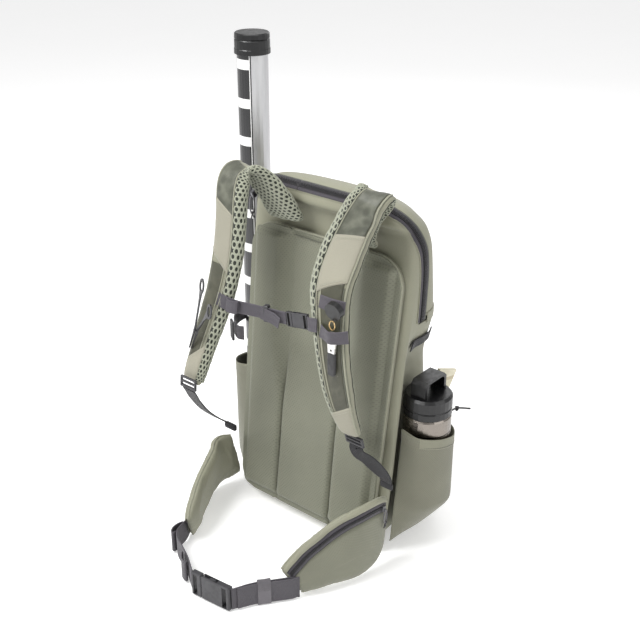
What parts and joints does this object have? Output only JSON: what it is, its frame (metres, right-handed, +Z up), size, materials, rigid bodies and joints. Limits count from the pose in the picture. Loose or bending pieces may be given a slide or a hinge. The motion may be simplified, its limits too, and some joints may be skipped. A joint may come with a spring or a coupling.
{
  "type": "fishing_backpack",
  "caption": "A sage-green fishing day pack with moulded back panel, full harness and hip belt, rod tube, water bottle, line nippers and forceps.",
  "frame": {"origin": "Centre of the bag's base on the ground, between the two side pockets.", "axes": "+Z up; the harness and back panel face -Y, the front of the bag +Y; +X is the bottle pocket's side."},
  "size_m": [0.4258, 0.4514, 0.753],
  "materials": {
    "sage_fabric": "coated sage nylon, matt",
    "panel_foam": "moulded ribbed foam, matt",
    "frame_plastic": "plain sheet",
    "black_zip": "coil zip on woven tape",
    "zip_metal": "dark plated casting",
    "black_webbing": "woven webbing and cord",
    "purple_webbing": "woven grey-purple webbing",
    "buckle_plastic": "moulded, satin",
    "black_plastic": "moulded, semi-gloss",
    "brass_ring": "polished wire",
    "nipper_steel": "polished stainless",
    "gunmetal": "dark coated steel",
    "tube_enamel": "gloss enamel on aluminium",
    "steel": "brushed stainless, warm",
    "paper": "folded kraft paper, waxed"
  },
  "bodies": {
    "pack": {"main_shell": "sage_fabric", "frame_sheet": "frame_plastic", "back_panel": "panel_foam", "zip_tape_shell": "black_zip", "side_pocket_left": "sage_fabric", "side_pocket_right": "sage_fabric", "shoulder_strap_left": "sage_fabric", "shoulder_strap_right": "sage_fabric", "ladder_lock_left": "buckle_plastic", "ladder_lock_right": "buckle_plastic", "lower_webbing_left": "black_webbing", "lower_webbing_right": "black_webbing", "anchor_tab_left": "black_webbing", "anchor_tab_right": "black_webbing", "hip_wing_left": "sage_fabric", "hip_wing_right": "sage_fabric", "hip_zip_left": "black_zip", "hip_zip_right": "black_zip", "hip_webbing_left": "purple_webbing", "hip_webbing_right": "purple_webbing", "waist_buckle_female": "buckle_plastic", "belt_keeper": "buckle_plastic", "sternum_webbing_left": "purple_webbing", "sternum_webbing_right": "purple_webbing", "sternum_buckle_female": "buckle_plastic", "sternum_keeper": "buckle_plastic", "gear_loop_upper": "purple_webbing", "gear_loop_lower": "purple_webbing", "retractor_body": "black_plastic", "pocket_drawcord": "black_webbing", "compression_strap_left": "purple_webbing", "compression_strap_right": "black_webbing", "compression_lock_left": "buckle_plastic"},
    "lid": {"front_lid": "sage_fabric", "zip_tape_lid": "black_zip"},
    "main_slider": {"main_slider": "zip_metal"},
    "main_pull": {"main_pull": "black_webbing"},
    "rod_tube": {"rod_tube": "tube_enamel", "rod_tube_foot": "black_plastic"},
    "rod_cap": {"rod_tube_cap": "black_plastic"},
    "bottle": {"bottle_body": "steel"},
    "bottle_lid": {"bottle_lid": "black_plastic"},
    "packet": {"paper_packet": "paper"},
    "nippers": {"retractor_link": "brass_ring", "nipper_head": "nipper_steel", "nipper_sleeve": "black_plastic"},
    "forceps": {"forceps_half_a": "gunmetal", "forceps_pivot": "gunmetal"},
    "forceps_jaw": {"forceps_half_b": "gunmetal"},
    "sternum_male": {"sternum_buckle_male": "buckle_plastic"},
    "waist_male": {"waist_buckle_male": "buckle_plastic"},
    "prong_upper": {"waist_buckle_prong_upper": "buckle_plastic"},
    "prong_lower": {"waist_buckle_prong_lower": "buckle_plastic"},
    "hip_slider_left": {"hip_slider_left": "zip_metal"},
    "hip_pull_left": {"hip_pull_left": "black_webbing"},
    "hip_slider_right": {"hip_slider_right": "zip_metal"},
    "hip_pull_right": {"hip_pull_right": "black_webbing"}
  },
  "joints": [
    {"name": "lid_hinge", "type": "hinge", "parent": "pack", "child": "lid", "pos_m": [0, 0.079, 0.38], "axis": [-1, 0, 0], "range_deg": [0, 80]},
    {"name": "main_slider_slide", "type": "slide", "parent": "pack", "child": "main_slider", "axis": [0, -0.4191, 0.908], "range_m": [0, 0.03]},
    {"name": "main_pull_hinge", "type": "hinge", "parent": "main_slider", "child": "main_pull", "pos_m": [-0.1627, -0.0235, 0.508], "axis": [0, 1, 0], "range_deg": [0, 80]},
    {"name": "rod_tube_slide", "type": "slide", "parent": "pack", "child": "rod_tube", "axis": [0, 0, 1], "range_m": [0, 0.25]},
    {"name": "rod_cap_turn", "type": "hinge", "parent": "rod_tube", "child": "rod_cap", "pos_m": [-0.183, 0.008, 0.722], "axis": [0, 0, 1], "range_deg": [0, 720]},
    {"name": "bottle_slide", "type": "slide", "parent": "pack", "child": "bottle", "axis": [0, 0, 1], "range_m": [0, 0.03]},
    {"name": "bottle_lid_turn", "type": "hinge", "parent": "bottle", "child": "bottle_lid", "pos_m": [0.1705, -0.002, 0.236], "axis": [0, 0, 1], "range_deg": [0, 720]},
    {"name": "packet_slide", "type": "slide", "parent": "pack", "child": "packet", "axis": [0, 0, 1], "range_m": [0, 0.05]},
    {"name": "nippers_slide", "type": "slide", "parent": "pack", "child": "nippers", "axis": [0, 0, -1], "range_m": [0, 0.06], "stiffness_N_per_m": 2},
    {"name": "forceps_slide", "type": "slide", "parent": "pack", "child": "forceps", "axis": [0.4172, -0.05, 0.9074], "range_m": [0, 0.03]},
    {"name": "forceps_hinge", "type": "hinge", "parent": "forceps", "child": "forceps_jaw", "pos_m": [-0.11831, -0.1985, 0.3528], "axis": [-0.5079, -0.8409, 0.1871], "range_deg": [0, 25]},
    {"name": "sternum_buckle_slide", "type": "slide", "parent": "pack", "child": "sternum_male", "axis": [-0.987, -0.0296, -0.1579], "range_m": [0, 0.02], "deforming": ["sternum_webbing_left"]},
    {"name": "waist_buckle_slide", "type": "slide", "parent": "pack", "child": "waist_male", "axis": [-0.9941, -0.108, 0], "range_m": [0, 0.034], "deforming": ["hip_webbing_left"]},
    {"name": "prong_upper_hinge", "type": "hinge", "parent": "waist_male", "child": "prong_upper", "pos_m": [0.0087, -0.32886, 0.0362], "axis": [-0.108, 0.9941, 0], "range_deg": [0, 7], "stiffness_Nm_per_rad": 0.2},
    {"name": "prong_lower_hinge", "type": "hinge", "parent": "waist_male", "child": "prong_lower", "pos_m": [0.0087, -0.32886, 0.0088], "axis": [-0.108, 0.9941, 0], "range_deg": [-7, 0], "stiffness_Nm_per_rad": 0.2},
    {"name": "hip_slider_left_slide", "type": "slide", "parent": "pack", "child": "hip_slider_left", "axis": [-0.1152, -0.9842, 0.1346], "range_m": [0, 0.02]},
    {"name": "hip_pull_left_hinge", "type": "hinge", "parent": "hip_slider_left", "child": "hip_pull_left", "pos_m": [-0.17775, -0.1089, 0.08944], "axis": [0.1152, 0.9842, -0.1346], "range_deg": [0, 60]},
    {"name": "hip_slider_right_slide", "type": "slide", "parent": "pack", "child": "hip_slider_right", "axis": [0.1762, -0.8964, 0.4068], "range_m": [0, 0.02]},
    {"name": "hip_pull_right_hinge", "type": "hinge", "parent": "hip_slider_right", "child": "hip_pull_right", "pos_m": [0.1738, -0.10586, 0.11269], "axis": [0.1762, -0.8964, 0.4068], "range_deg": [0, 60]}
  ],
  "couplings": [
    {"joint": "prong_lower_hinge", "follows": "prong_upper_hinge", "ratio": -1}
  ]
}
